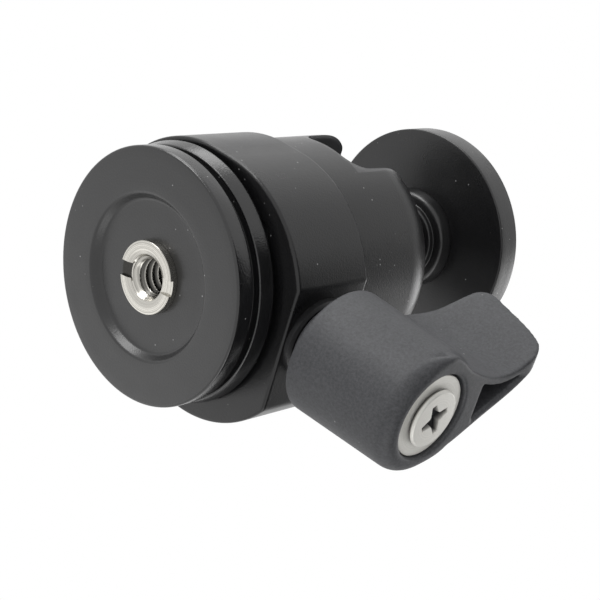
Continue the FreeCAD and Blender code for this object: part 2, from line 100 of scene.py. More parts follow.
class BallHeadSizes(bpy.types.PropertyGroup):
    """Sizes of the fine detail, in millimetres."""
    thread_pitch: size("Thread pitch", "Pitch of the camera and tripod threads", 1.27)
    thread_depth: size("Thread depth", "Radial depth of the camera and tripod threads", 0.62)
    mouth_radius: size("Mouth radius", "Radius where the bushing's face starts to slope into its thread", 4.1)
    slot_width: size("Slot width", "Width of the screwdriver slot in the bushing", 2.3)
    slot_depth: size("Slot depth", "Depth of the screwdriver slot in the bushing", 0.5)
    recess_radius: size("Recess radius", "Radius of the shallow recess under the foot disc", 12.1)
    recess_depth: size("Recess depth", "Depth of the shallow recess under the foot disc", 1.3)
    disc_edge: size("Disc edge", "Rounding of the foot disc's outer edges", 0.45)
    platform_edge: size("Platform edge", "Rounding of the platform's edges", 0.3)
    flange_fillet: size("Flange fillet", "Rounding of the rings below the platform", 1.3)
    pad_rib: size("Pad rib", "Spacing of the ribs on the camera pad", 0.9)
    cross_reach: size("Cross reach", "Reach of the screw's cross recess from its centre", 2.6)
    cross_width: size("Cross width", "Half the width of the cross recess", 0.72)
    edge_break: size("Edge break", "Rounding of the lower housing's edges in its finish", 0.4)
    notch_break: size("Notch break", "Rounding of the upper housing's edges in its finish", 1.1)
    knob_grain: size("Knob mesh", "Mesh size of the softened knob", 0.16)
    knob_softening: IntProperty(
        name="Knob softening", description="Rounds of smoothing of the knob", default=22, min=1,
    )
    turns: IntProperty(
        name="Turns", description="Points around a turned piece", default=192, min=48, max=512,
    )


class BallHeadColours(bpy.types.PropertyGroup):
    """Colours of the finishes and the floor."""
    anodised: colour("Anodised", "Black anodised aluminium", (0.0055, 0.0055, 0.006))
    # Painted light: the drop notch's walls are given a greyer colour in place of the light they reflect
    painted_light: colour("Painted_notch_light", "Anodised walls of the drop notch", (0.05, 0.05, 0.052))
    plastic: colour("Knob plastic", "Moulded plastic of the knob", (0.043, 0.044, 0.048))
    nickel: colour("Nickel", "Plated bushing", (0.66, 0.64, 0.59))
    steel: colour("Steel", "Washer, screw and studs", (0.70, 0.69, 0.65))
    dark_steel: colour("Dark steel", "Blackened bush and small screws", (0.008, 0.008, 0.009))
    brass: colour("Brass", "Insert in the knob", (0.62, 0.47, 0.20))
    seat: colour("Seat plastic", "Seats above and below the ball", (0.75, 0.74, 0.70))
    rubber: colour("Pad rubber", "Ribbed pad under the camera", (0.020, 0.020, 0.020))
    floor: colour("Floor", "Plain pale floor", (0.86, 0.86, 0.86))


# Surfaces

def rounded(corners):
    """Closed profile with each corner (radius, height, rounding) turned into a quadratic curve:
    the curve starts and ends one tangent length from the corner, and is pulled by the corner.
    The tangent length is the rounding over the tangent of half the corner's angle, and takes
    less than half of the run that it lies on."""
    straight, most_of_run = 0.9999, 0.48
    c = np.asarray(corners, float)
    point, fillet = c[:, :2], c[:, 2]
    before, after = np.roll(point, 1, 0) - point, np.roll(point, -1, 0) - point
    len_b, len_a = np.linalg.norm(before, axis=1), np.linalg.norm(after, axis=1)
    before, after = before / len_b[:, None], after / len_a[:, None]
    cosine = np.clip((before * after).sum(1), -straight, straight)
    tangent = fillet / np.tan(np.arccos(cosine) / 2)
    tangent = np.minimum(tangent, most_of_run * np.minimum(len_b, len_a))
    t = np.linspace(0, 1, ROUND_STEPS)[None, :, None]
    start = (point + before * tangent[:, None])[:, None, :]
    end = (point + after * tangent[:, None])[:, None, :]
    arc = (1 - t) ** 2 * start + 2 * t * (1 - t) * point[:, None, :] + t ** 2 * end
    return arc.reshape(-1, 2)


def filled(profile, longest):
    """Closed profile with points added along its runs, so that no run is longer than a length."""
    nxt = np.roll(profile, -1, 0)
    count = np.maximum(1, np.ceil(np.linalg.norm(nxt - profile, axis=1) / longest).astype(int))
    index = np.repeat(np.arange(len(profile)), count)
    first = np.repeat(np.cumsum(count) - count, count)
    share = (np.arange(count.sum()) - first) / count[index]
    return profile[index] + (nxt[index] - profile[index]) * share[:, None]


def round_angles(count):
    """Row of angles once round, without the last one that would repeat the first."""
    return np.linspace(0, 2 * np.pi, count, endpoint=False)[None, :]


def eased(share):
    """Share from 0 to 1 with level ends: 3 s^2 - 2 s^3."""
    return share * share * (3 - 2 * share)


def upright(radius, height, angle):
    """Points at a radius and an angle about Z, at a height."""
    return np.stack([radius * np.cos(angle), radius * np.sin(angle), height + 0 * angle], -1)


def along_knob(radius, x, angle):
    """Points at a radius and an angle about the lock shaft, at a place along it."""
    return np.stack([x + 0 * angle, radius * np.cos(angle), SHAFT_Z + radius * np.sin(angle)], -1)


def sheet_mesh(name, grid, sharp=35.0, painted_shade=None):
    """Mesh from a grid of points in millimetres that closes on itself both ways: quads between
    neighbours, doubles merged, flat scraps dropped and the faces turned outwards. Edges past an
    angle in degrees stay sharp. Where given, the share of painted shade at each point, darkening
    painted into hollows, is kept as an attribute for the material."""
    rows, cols = grid.shape[:2]
    index = np.arange(rows * cols).reshape(rows, cols)
    down, right = np.roll(index, -1, 0), np.roll(index, -1, 1)
    both = np.roll(down, -1, 1)
    faces = np.stack([index, right, both, down], -1).reshape(-1, 4)
    mesh = bpy.data.meshes.new(name)
    mesh.vertices.add(rows * cols)
    mesh.vertices.foreach_set("co", (grid * MM).astype(np.float32).ravel())
    mesh.loops.add(faces.size)
    mesh.loops.foreach_set("vertex_index", faces.astype(np.int32).ravel())
    mesh.polygons.add(len(faces))
    mesh.polygons.foreach_set("loop_start", np.arange(0, faces.size, 4, dtype=np.int32))
    if painted_shade is not None:
        kept = mesh.attributes.new("painted_shade", "FLOAT", "POINT")
        kept.data.foreach_set("value", np.broadcast_to(painted_shade, (rows, cols)).astype(np.float32).ravel())
    mesh.update(calc_edges=True)
    shape = bmesh.new()
    shape.from_mesh(mesh)
    bmesh.ops.remove_doubles(shape, verts=shape.verts, dist=SEAM)
    bmesh.ops.dissolve_degenerate(shape, edges=shape.edges, dist=SEAM)
    bmesh.ops.recalc_face_normals(shape, faces=shape.faces)
    shape.to_mesh(mesh)
    shape.free()
    smoothed(mesh)
    mesh.set_sharp_from_angle(angle=math.radians(sharp))
    mesh.update()
    return mesh


def smoothed(mesh):
    """Sets every face of a mesh to smooth shading."""
    mesh.polygons.foreach_set("use_smooth", np.ones(len(mesh.polygons), bool))


def piece(name, mesh, body, slot, material, *nodes):
    """Puts a mesh in the scene as a piece on a body, in place of the nodes it stands for."""
    made = bpy.data.objects.new(name, mesh)
    bpy.context.scene.collection.objects.link(made)
    made.data.materials.clear()
    made.data.materials.append(material)
    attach(made, body)
    if nodes:
        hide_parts(*nodes)


def turned(name, profile, place=upright):
    """Turned piece: a closed profile of (radius, height) carried round an axis."""
    angle = round_angles(bpy.context.scene.ball_head_sizes.turns)
    p = np.asarray(profile, float)
    return sheet_mesh(name, place(p[:, :1], p[:, 1:2], angle))


def thread_wave(height, angle, pitch):
    """Saw of a right-handed thread between 0 and 1: the distance along the axis less the turn
    made, folded into a triangle, then stretched and clipped so that root and crest are flat."""
    stretch, drop = 1.25, 0.1
    turn = (height / pitch - angle / (2 * np.pi)) % 1.0
    return np.clip(stretch * (1 - np.abs(2 * turn - 1)) - drop, 0, 1)


def merged_copy(node, *extra):
    """Copy of a solid's mesh with its loose triangles joined, and other closed meshes beside it."""
    mesh = bpy.data.meshes.new(node + "_copy")
    shape = bmesh.new()
    shape.from_mesh(frame["nodes"][node].data)
    bmesh.ops.remove_doubles(shape, verts=shape.verts, dist=SOLID_SEAM)
    for each in extra:
        shape.from_mesh(each)
    shape.to_mesh(mesh)
    shape.free()
    return mesh


def changed(mesh, *modifiers):
    """Mesh with some modifiers applied, each given as a type and its settings."""
    fewest_faces = 1000
    source = bpy.data.objects.new("source", mesh)
    bpy.context.scene.collection.objects.link(source)
    for kind, settings in modifiers:
        made = source.modifiers.new(kind.lower(), kind)
        for name, value in settings.items():
            setattr(made, name, value)
    result = bpy.data.meshes.new_from_object(source.evaluated_get(bpy.context.evaluated_depsgraph_get()))
    bpy.data.objects.remove(source)
    if len(result.polygons) < fewest_faces:
        raise RuntimeError("a changed mesh came out empty")
    return result


def grown_soft(mesh, grain, rounds):
    """Mesh rebuilt on a grid of a grain in millimetres and smoothed some rounds."""
    grid = ("REMESH", {"mode": "VOXEL", "voxel_size": grain * MM})
    return changed(mesh, grid, ("SMOOTH", {"factor": 0.5, "iterations": rounds}))


def points_of(mesh):
    """Vertices of a mesh in millimetres."""
    place = np.empty(len(mesh.vertices) * 3, np.float32)
    mesh.vertices.foreach_get("co", place)
    return place.reshape(-1, 3) / MM


# Materials

# Span that most values of a noise lie in, and the whole span of a share
MIDDLE = (0.3, 0.7)
WHOLE = (0, 1)
# An axis is given by the directions that count across it and by a point on it
UPRIGHT_AXIS = ((1, 1, 0), (0, 0, 0))
KNOB_AXIS = ((0, 1, 1), (0, 0, SHAFT_Z))


def feed(tree, socket, value):
    """Links a socket to another node's output, or sets it to a plain value."""
    if isinstance(value, bpy.types.NodeSocket):
        tree.links.new(value, socket)
    else:
        socket.default_value = value


def new_node(tree, kind, output, inputs, **settings):
    """Output of a new node with some settings, its inputs given by name or number."""
    made = tree.nodes.new(kind)
    for name, value in settings.items():
        setattr(made, name, value)
    for key, value in inputs.items():
        feed(tree, made.inputs[key], value)
    return made.outputs[output]


def blank_finish():
    """New material with its tree, its Principled shader and the object coordinates."""
    material = bpy.data.materials.new("finish")
    material.use_nodes = True
    tree = material.node_tree
    place = new_node(tree, "ShaderNodeTexCoord", "Object", {})
    return material, tree, tree.nodes["Principled BSDF"], place


def noise(tree, place, scale, detail=3.0, rough=0.55):
    """Noise of a scale in cells per metre."""
    inputs = {"Vector": place, "Scale": scale, "Detail": detail, "Roughness": rough}
    return new_node(tree, "ShaderNodeTexNoise", "Fac", inputs)


def ranged(tree, value, span, out_span):
    """Value mapped from one span to another and clamped."""
    ends = ("From Min", "From Max", "To Min", "To Max")
    inputs = {"Value": value, **dict(zip(ends, (*span, *out_span)))}
    return new_node(tree, "ShaderNodeMapRange", "Result", inputs)


def mixed(tree, share, first, second):
    """Colour between two colours by a share."""
    ends = [c if isinstance(c, bpy.types.NodeSocket) else (*c, 1) for c in (first, second)]
    inputs = {"Factor": share, "A": ends[0], "B": ends[1]}
    return new_node(tree, "ShaderNodeMix", "Result", inputs, data_type="RGBA")


def times(tree, first, second):
    """Product of two values."""
    return new_node(tree, "ShaderNodeMath", 0, {0: first, 1: second}, operation="MULTIPLY")


def distance_across(tree, place, axis):
    """Distance of a point from an axis, in metres: the length of what counts across it."""
    keep, centre = axis
    shift = tuple(-c * k * MM for c, k in zip(centre, keep))
    inputs = {"Vector": place, "Location": shift, "Scale": keep}
    across = new_node(tree, "ShaderNodeMapping", "Vector", inputs)
    return new_node(tree, "ShaderNodeVectorMath", "Value", {0: across}, operation="LENGTH")


def shade(value, factor):
    """Colour made lighter or darker by a factor."""
    return tuple(min(1.0, c * factor) for c in value)


def speckled(tree, grain, c, tones):
    """Colour that goes from one tone to another with a grain."""
    return mixed(tree, ranged(tree, grain, MIDDLE, WHOLE), shade(c, tones[0]), shade(c, tones[1]))


def bumped(tree, shader, height, strength, depth, edge=0.0):
    """Bump of a depth in millimetres on the shader's normal, over edges rounded where asked."""
    inputs = {"Height": height, "Strength": strength, "Distance": depth * MM}
    if edge:
        inputs["Normal"] = new_node(tree, "ShaderNodeBevel", "Normal", {"Radius": edge * MM}, samples=8)
    feed(tree, shader.inputs["Normal"], new_node(tree, "ShaderNodeBump", "Normal", inputs))


def ring_marks(tree, place, axis):
    """Turning marks: noise of the distance from an axis, swayed a little by a slow noise."""
    marks, slow, sway = 5200, 500, 0.03
    inputs = {0: noise(tree, place, slow, 1.0), 1: sway * MM, 2: distance_across(tree, place, axis)}
    swayed = new_node(tree, "ShaderNodeMath", 0, inputs, operation="MULTIPLY_ADD")
    inputs = {"W": swayed, "Scale": marks, "Detail": 3.0, "Roughness": 0.7}
    return new_node(tree, "ShaderNodeTexNoise", "Fac", inputs, noise_dimensions="1D")


def dusted(tree, place, base, scale, speck_radius, speck):
    """Colour with a few small pale specks: the cores of Voronoi cells that a slow noise lets by."""
    full, slower, let_by = 0.6, 0.21, (0.53, 0.58)
    distance = new_node(tree, "ShaderNodeTexVoronoi", "Distance", {"Vector": place, "Scale": scale})
    core = ranged(tree, distance, (speck_radius, speck_radius * full), WHOLE)
    patch = ranged(tree, noise(tree, place, scale * slower, 1.0), let_by, WHOLE)
    return mixed(tree, times(tree, core, patch), base, speck)


def within(tree, place, centre, reach):
    """Share that is 1 in a box, given by its centre and half its size in millimetres, and fades
    out at its walls."""
    fade = 0.1
    centre = tuple(c * MM for c in centre)
    away = new_node(tree, "ShaderNodeVectorMath", "Vector", {0: place, 1: centre}, operation="SUBTRACT")
    away = new_node(tree, "ShaderNodeVectorMath", "Vector", {0: away}, operation="ABSOLUTE")
    parts = tree.nodes.new("ShaderNodeSeparateXYZ")
    feed(tree, parts.inputs["Vector"], away)
    share = 1.0
    for output, half in zip(parts.outputs, reach):
        wall = ((half - fade) * MM, (half + fade) * MM)
        share = times(tree, ranged(tree, output, wall, (1.0, 0.0)), share)
    return share


def blasted_black(gloss=0.6, edge=0.0, rough=0.3, turned_side=None, painted_light=None):
    """Black anodised aluminium, finely blasted: satin, with a fine grain and some dust. Where a
    radius is given, the side past it is turned smoother. Where a box is given, as a centre and
    half a size, the walls in it get painted light: a greyer colour for the light they would reflect."""
    colours = bpy.context.scene.ball_head_colours
    material, tree, shader, place = blank_finish()
    grain = noise(tree, place, scale=3800, detail=2.0, rough=0.6)
    cloud = noise(tree, place, scale=160)
    base = speckled(tree, grain, tuple(colours.anodised), (0.8, 1.3))
    # Painted light: walls in the box turn greyer, standing in for a reflection
    if painted_light:
        base = mixed(tree, within(tree, place, *painted_light), base, tuple(colours.painted_light))
    base = dusted(tree, place, base, scale=640, speck_radius=0.085, speck=(0.3, 0.3, 0.3))
    feed(tree, shader.inputs["Base Color"], base)
    satin = ranged(tree, cloud, MIDDLE, (rough * 0.9, rough * 1.1))
    if turned_side:
        smoother, fade = 0.62, 0.3
        radius = distance_across(tree, place, UPRIGHT_AXIS)
        span = ((turned_side - fade) * MM, turned_side * MM)
        satin = times(tree, satin, ranged(tree, radius, span, (1.0, smoother)))
    feed(tree, shader.inputs["Roughness"], satin)
    shader.inputs["Metallic"].default_value = 0.0
    shader.inputs["Specular IOR Level"].default_value = gloss
    bumped(tree, shader, grain, strength=0.6, depth=0.042, edge=edge)
    return material


def turned_metal(c, rough, axis, metallic=1.0, relief=0.25, tones=(0.72, 1.12), painted_shade=None):
    """Turned metal: marks round its axis in tone, gloss and relief, and painted shade: darker, towards
    the given colour, where the painted shade attribute says so."""
    material, tree, shader, place = blank_finish()
    marks = ring_marks(tree, place, axis)
    fine = noise(tree, place, scale=3000, detail=2.0)
    base = speckled(tree, marks, tuple(c), tones)
    # Painted shade: the colour turns to a dark one where the attribute says, in place of real shade
    if painted_shade is not None:
        depth = new_node(tree, "ShaderNodeAttribute", "Fac", {}, attribute_name="painted_shade")
        base = mixed(tree, depth, base, painted_shade)
    feed(tree, shader.inputs["Base Color"], base)
    feed(tree, shader.inputs["Roughness"], ranged(tree, fine, MIDDLE, (rough * 0.8, rough * 1.25)))
    shader.inputs["Metallic"].default_value = metallic
    bumped(tree, shader, marks, strength=relief, depth=0.02)
    return material


def grained_plastic():
    """Moulded plastic of the knob: matt, with a fine even grain and a little dust."""
    c = tuple(bpy.context.scene.ball_head_colours.plastic)
    material, tree, shader, place = blank_finish()
    grain = noise(tree, place, scale=2600, rough=0.75)
    cloud = noise(tree, place, scale=120, detail=2.0)
    base = speckled(tree, grain, c, (0.62, 1.4))
    base = dusted(tree, place, base, scale=430, speck_radius=0.07, speck=(0.2, 0.2, 0.2))
    feed(tree, shader.inputs["Base Color"], base)
    feed(tree, shader.inputs["Roughness"], ranged(tree, cloud, MIDDLE, (0.54, 0.62)))
    bumped(tree, shader, grain, strength=0.5, depth=0.03)
    return material


def matt_seat():
    """Low friction seat plastic: pale and matt."""
    c = tuple(bpy.context.scene.ball_head_colours.seat)
    material, tree, shader, place = blank_finish()
    grain = noise(tree, place, scale=1500)
    feed(tree, shader.inputs["Base Color"], mixed(tree, grain, shade(c, 0.85), shade(c, 1.05)))
    feed(tree, shader.inputs["Roughness"], ranged(tree, grain, MIDDLE, (0.45, 0.6)))
    bumped(tree, shader, grain, strength=0.2, depth=0.01)
    return material


def pad_rubber():
    """Camera pad: matt rubber with a dusty grain."""
    c = tuple(bpy.context.scene.ball_head_colours.rubber)
    material, tree, shader, place = blank_finish()
    grain = noise(tree, place, scale=2400, rough=0.7)
    share = ranged(tree, grain, (0.3, 0.75), WHOLE)
    feed(tree, shader.inputs["Base Color"], mixed(tree, share, shade(c, 0.7), shade(c, 1.7)))
    feed(tree, shader.inputs["Roughness"], ranged(tree, grain, MIDDLE, (0.75, 0.9)))
    bumped(tree, shader, grain, strength=0.4, depth=0.03)
    return material


def finish_material(key):
    """Material of a finish, made once."""
    found = bpy.data.materials.get("finish_" + key)
    if found is not None:
        return found
    c, s = bpy.context.scene.ball_head_colours, bpy.context.scene.ball_head_sizes
    # Box over the drop notch, whose walls get painted light
    notch = ((0, -13, 39), (6.9, 8, 6.7))
    makers = {
        "black_anodised": blasted_black,
        "turned_black": lambda: blasted_black(gloss=0.7, rough=0.34, turned_side=18.8),
        "lower_black": lambda: blasted_black(gloss=0.46, edge=s.edge_break),
        "upper_black": lambda: blasted_black(gloss=0.46, edge=s.notch_break, painted_light=notch),
        # The last colour given to the nickel is its painted shade for the thread's roots and one slot
        "bright_nickel": lambda: turned_metal(
            c.nickel, 0.24, UPRIGHT_AXIS, tones=(0.5, 1.05), painted_shade=(0.03, 0.029, 0.027),
        ),
        # The last colour given to the plain steel is its painted shade for the screw's cross and shank
        "plain_steel": lambda: turned_metal(
            c.steel, 0.5, KNOB_AXIS, metallic=0.5, relief=0.04, tones=(0.94, 1.04),
            painted_shade=(0.03, 0.03, 0.032),
        ),
        "stud_steel": lambda: turned_metal(c.steel, 0.28, UPRIGHT_AXIS),
        "dark_steel": lambda: turned_metal(c.dark_steel, 0.42, KNOB_AXIS, metallic=0.0),
        "brass": lambda: turned_metal(c.brass, 0.3, KNOB_AXIS),
        "seat_plastic": matt_seat,
        "knob_plastic": grained_plastic,
        "pad_rubber": pad_rubber,
    }
    made = makers[key]()
    made.name = "finish_" + key
    return made


# Pieces

class BALLHEAD_OT_solids(bpy.types.Operator):
    """Gives every solid of the ball head the finish that its slot names"""
    bl_idname = "ball_head.solids"
    bl_label = "Finish the solids"

    def execute(self, context):
        # The two housings have a black of their own, with edges rounded in the finish
        housings = {"lower_housing": "lower_black", "upper_housing": "upper_black"}
        for part in frame["record"]["subparts"]:
            node = frame["nodes"][part["node"]]
            finish = housings.get(part["node"], part["material_slot"])
            node.data.materials.clear()
            node.data.materials.append(finish_material(finish))
        return {"FINISHED"}


class BALLHEAD_OT_foot(bpy.types.Operator):
    """Foot disc with its shallow recess, and the flared ring above it"""
    bl_idname = "ball_head.foot"
    bl_label = "Foot disc and ring"

    longest_run = 1.5

    def execute(self, context):
        s = context.scene.ball_head_sizes
        black = finish_material("turned_black")
        profile = rounded(self.disc(s, low("foot_ring")[2]))
        mesh = turned("foot_disc", filled(profile, self.longest_run))
        piece("foot_disc", mesh, "housing", "black_anodised", black, "base_disc")
        profile = rounded(self.ring(low("foot_ring")[2], high("foot_ring")[2]))
        mesh = turned("flared_ring", filled(profile, self.longest_run))
        piece("flared_ring", mesh, "housing", "black_anodised", black, "foot_ring")
        return {"FINISHED"}

    def disc(self, s, back):
        """Corners of the disc: recess and its sloping wall, face, side, back, hub."""
        radius, hub_top = high("base_disc")[0], high("base_disc")[2]
        bore, hub, hub_edge = 4.79, 7.6, 0.1
        wall_foot, wall_top, wall_edge, back_edge = 0.75, 0.15, 0.7, 0.25
        return [
            (bore, s.recess_depth, FINE), (s.recess_radius - wall_foot, s.recess_depth, wall_edge),
            (s.recess_radius + wall_top, 0, wall_edge), (radius, 0, s.disc_edge), (radius, back, back_edge),
            (hub, back, FINE), (hub, hub_top, hub_edge), (bore, hub_top, hub_edge),
        ]

    def ring(self, bottom, top):
        """Corners of the ring: a dark groove beside the disc, the flare, and a step at its top."""
        bore, groove, groove_height, groove_edge = 7.75, 17.7, 1.4, 0.08
        flare_foot, flare_top, flare_edge = 18.9, high("foot_ring")[0], 0.3
        step_height, step_width = 0.9, 1.5
        return [
            (bore, bottom, FINE), (groove, bottom, FINE), (groove, bottom + groove_height, groove_edge),
            (flare_foot, bottom + groove_height, flare_edge), (flare_top, top - step_height, flare_edge),
            (flare_top - step_width, top - step_height, groove_edge), (flare_top - step_width, top, FINE),
            (bore, top, FINE),
        ]


class BALLHEAD_OT_bushing(bpy.types.Operator):
    """Threaded reducing bushing in the foot, with its slot and its countersunk mouth"""
    bl_idname = "ball_head.bushing"
    bl_label = "Thread bushing"

    def execute(self, context):
        s = context.scene.ball_head_sizes
        length, mouth_height, slot_turn = high("thread_bushing")[2], 0.32, math.radians(-9.0)
        # Rows: down the bore from its far end, then out over the face and back along the outside
        bore_rows = np.linspace(length, mouth_height, 210)
        outside = self.outside(s, length)
        minor = THREAD_RADIUS - s.thread_depth
        row_r = np.concatenate([np.full(len(bore_rows), minor), outside[:, 0]])[:, None]
        row_z = np.concatenate([bore_rows, outside[:, 1]])[:, None]
        in_bore = np.concatenate([np.ones(len(bore_rows)), np.zeros(len(outside))])[:, None]
        # Columns: slot, flange, slot, flange, with doubled columns for the slot's walls. The slot
        # keeps its width: the sine of half its angle is half its width over the radius
        sector = 44
        share = np.linspace(0, 1, sector)
        half = np.arcsin(np.clip(s.slot_width / 2 / row_r, 0, 1))
        angle = slot_turn + np.concatenate([
            -half + 2 * half * share, half + (np.pi - 2 * half) * share,
            np.pi - half + 2 * half * share, np.pi + half + (np.pi - 2 * half) * share,
        ], 1)
        in_slot = np.repeat([1, 0, 1, 0], sector)[None, :]
        # The bore is the thread, or the countersink where that is wider
        sink, slope = 0.22, 0.75
        wave = thread_wave(row_z, angle, s.thread_pitch)
        mouth = THREAD_RADIUS + sink - (row_z - mouth_height) * slope
        crest = np.maximum(THREAD_RADIUS - s.thread_depth * wave, mouth)
        radius = np.where(in_bore > 0, crest, row_r)
        height = np.where(in_slot > 0, np.maximum(row_z, s.slot_depth), row_z)
        # Painted shade: the roots of the thread are darkened from a little way in, the crests left
        # lighter as a painted highlight, and the floor of one of the two slots is darkened too
        start, fade, crest_light, slot_painted_shade = 0.5, 1.8, 0.75, 0.98
        painted_shade = np.clip((height - start) / fade, 0, 1) * in_bore * (1.0 - crest_light * wave ** 3)
        left = (np.arange(4 * sector) // sector == 2)[None, :] & (row_z < s.slot_depth) & (in_bore < 1)
        painted_shade = np.maximum(painted_shade, slot_painted_shade * left)
        mesh = sheet_mesh("threaded_bushing", upright(radius, height, angle), sharp=28, painted_shade=painted_shade)
        nickel = finish_material("bright_nickel")
        piece("threaded_bushing", mesh, "housing", "bright_nickel", nickel, "thread_bushing")
        return {"FINISHED"}

    def outside(self, s, length):
        """Profile from the bore's mouth over the sloping face and the flange to the far end. The
        run that closes the profile through the bore is left off."""
        flange, neck, longest_run = high("thread_bushing")[1], 4.76, 0.3
        lip, lip_height, face_edge, flange_edge, neck_edge = 0.25, 0.3, 0.9, 0.2, 0.1
        just_below = length - 0.001
        profile = filled(rounded([
            (THREAD_RADIUS + lip, lip_height, FINE), (s.mouth_radius, 0, face_edge), (flange, 0, flange_edge),
            (flange, s.recess_depth, FINE), (neck, s.recess_depth, FINE), (neck, length, neck_edge),
            (THREAD_RADIUS, length, FINE),
        ]), longest_run)
        return profile[:np.flatnonzero(profile[:, 1] > just_below)[-1] + 1]


class BALLHEAD_OT_ball(bpy.types.Operator):
    """Ball, and the stem with its collar and flange"""
    bl_idname = "ball_head.ball"
    bl_label = "Ball and stem"

    def execute(self, context):
        black = finish_material("black_anodised")
        lowest, highest = low("ball")[2], high("ball")[2]
        radius, centre = (highest - lowest) / 2, (highest + lowest) / 2
        # Ball: a half circle from pole to pole
        lean = np.linspace(-np.pi / 2, np.pi / 2, 97)
        profile = np.stack([radius * np.cos(lean), centre + radius * np.sin(lean)], 1)
        profile[[0, -1], 0] = 0
        piece("polished_ball", turned("polished_ball", profile), "ball", "black_anodised", black, "ball")
        profile = self.stem(context.scene.ball_head_sizes, radius, centre)
        mesh = turned("neck_and_flange", filled(profile, longest=1.0))
        piece("neck_and_flange", mesh, "stem", "black_anodised", black, "ball_stem")
        return {"FINISHED"}

    def stem(self, s, radius, centre):
        """Profile of the stem: a bowl that fits the ball, the neck, the collar, the flange and the
        spigot in the platform."""
        neck, ball_gap, platform_gap = 5.3, 0.05, 0.03
        top, platform, flange = high("ball_stem")[2], low("platform_disc")[2], high("ball_stem")[0]
        bowl = radius + ball_gap
        lean = np.linspace(0, np.arcsin(neck / bowl), 14)
        root = np.stack([bowl * np.sin(lean), centre + bowl * np.cos(lean)], 1)
        # The collar and the flange hang below the platform
        collar, collar_low, collar_high, collar_edge = 6.6, platform - 3.6, platform - 2.5, 0.8
        foot_inset, lip, lip_height, lip_edge = 0.1, 0.35, 0.6, 0.4
        spigot, spigot_edge, neck_edge, ring_edge = 4.0, 0.2, 0.15, 0.25
        face = platform - platform_gap
        upper = rounded([
            (0, root[0, 1], 0), (neck, root[-1, 1], 0), (neck, collar_low, neck_edge),
            (collar, collar_low, collar_edge), (collar, collar_high, ring_edge),
            (flange - foot_inset, collar_high, s.flange_fillet),
            (flange + lip, platform - lip_height, lip_edge), (flange + lip, face, FINE),
            (spigot, face, FINE), (spigot, top, spigot_edge), (0, top, 0),
        ])
        # The bowl stands in for the first two corners
        return np.concatenate([root, upper[2 * ROUND_STEPS:]])


class BALLHEAD_OT_platform(bpy.types.Operator):
    """Camera platform with its ribbed pad and its threaded stud"""
    bl_idname = "ball_head.platform"
    bl_label = "Camera platform"

    # Radius of the stud's head, its thickness, and what the platform's seat leaves round it
    stud_head, head_thickness, seat_gap = 4.2, 1.2, 0.03

    def execute(self, context):
        s = context.scene.ball_head_sizes
        pad_low = low("platform_pad")[2]
        mesh = turned("round_platform", filled(self.disc(s, pad_low), longest=1.5))
        black = finish_material("black_anodised")
        piece("round_platform", mesh, "platform", "black_anodised", black, "platform_disc")
        mesh = turned("ribbed_pad", self.pad(s, pad_low))
        piece("ribbed_pad", mesh, "platform", "pad_rubber", finish_material("pad_rubber"), "platform_pad")
        mesh = self.stud(s, pad_low)
        piece("threaded_stud", mesh, "platform", "plain_steel", finish_material("stud_steel"), "camera_stud")
        return {"FINISHED"}

    def disc(self, s, pad_low):
        """Profile of the platform, with the pad's seat above and the stem's socket below."""
        radius, bottom, top = high("platform_disc")[0], low("platform_disc")[2], high("platform_disc")[2]
        socket, socket_top, bore = 4.05, bottom + 2.35, 2.65
        pad_gap, rim_edge = 0.15, 0.1
        rim = high("platform_pad")[0] + pad_gap
        seat, seat_floor = self.stud_head + self.seat_gap, pad_low - self.head_thickness
        return rounded([
            (socket, bottom, FINE), (radius, bottom, s.platform_edge), (radius, top, s.platform_edge),
            (rim, top, rim_edge), (rim, pad_low, FINE), (seat, pad_low, FINE), (seat, seat_floor, FINE),
            (bore, seat_floor, FINE), (bore, socket_top, FINE), (socket, socket_top, FINE),
        ])

    def pad(self, s, pad_low):
        """Profile of the pad: its top falls and rises between ribs as a squared raised cosine of
        the radius."""
        radius, hole, top = high("platform_pad")[0], 4.7, high("platform_pad")[2]
        inner_margin, outer_margin, groove, side_drop = 0.2, 0.25, 0.22, 0.25
        r = np.linspace(hole + inner_margin, radius - outer_margin, 260)
        wave = 0.5 - 0.5 * np.cos(2 * np.pi * (r - r[0]) / s.pad_rib)
        ribs = np.stack([r, top - groove * wave ** 2], 1)
        side = top - side_drop
        return np.concatenate([ribs, [(radius, side), (radius, pad_low), (hole, pad_low), (hole, side)]])

    def stud(self, s, pad_low):
        """Stud: the thread's radius is its crest less the thread's wave, under a cone at the tip."""
        top, bottom, turns = high("camera_stud")[2], low("camera_stud")[2], 96
        thread_start, tip_gap, tip_drop, tip_radius = 0.3, 0.01, 0.55, 2.0
        z = np.concatenate([np.linspace(pad_low + thread_start, top - tip_gap, 120), [top, top]])
        angle = round_angles(turns)
        wave = thread_wave(z[:, None], angle, s.thread_pitch)
        cone = THREAD_RADIUS + (top - z[:, None]) - tip_drop
        radius = np.minimum(THREAD_RADIUS - s.thread_depth * (1 - wave), cone)
        radius[-2:] = [[tip_radius], [0.0]]
        shank, neck, head_sunk = 2.5, 2.7, 0.02
        head_top, head_foot = pad_low - head_sunk, pad_low - self.head_thickness
        foot = np.array([
            (0, bottom), (shank, bottom), (shank, head_foot), (self.stud_head, head_foot),
            (self.stud_head, head_top), (neck, pad_low),
        ])
        radius = np.concatenate([np.repeat(foot[:, :1], turns, 1), radius])
        height = np.concatenate([foot[:, 1], z])[:, None]
        return sheet_mesh("threaded_stud", upright(radius, height, angle), sharp=30)


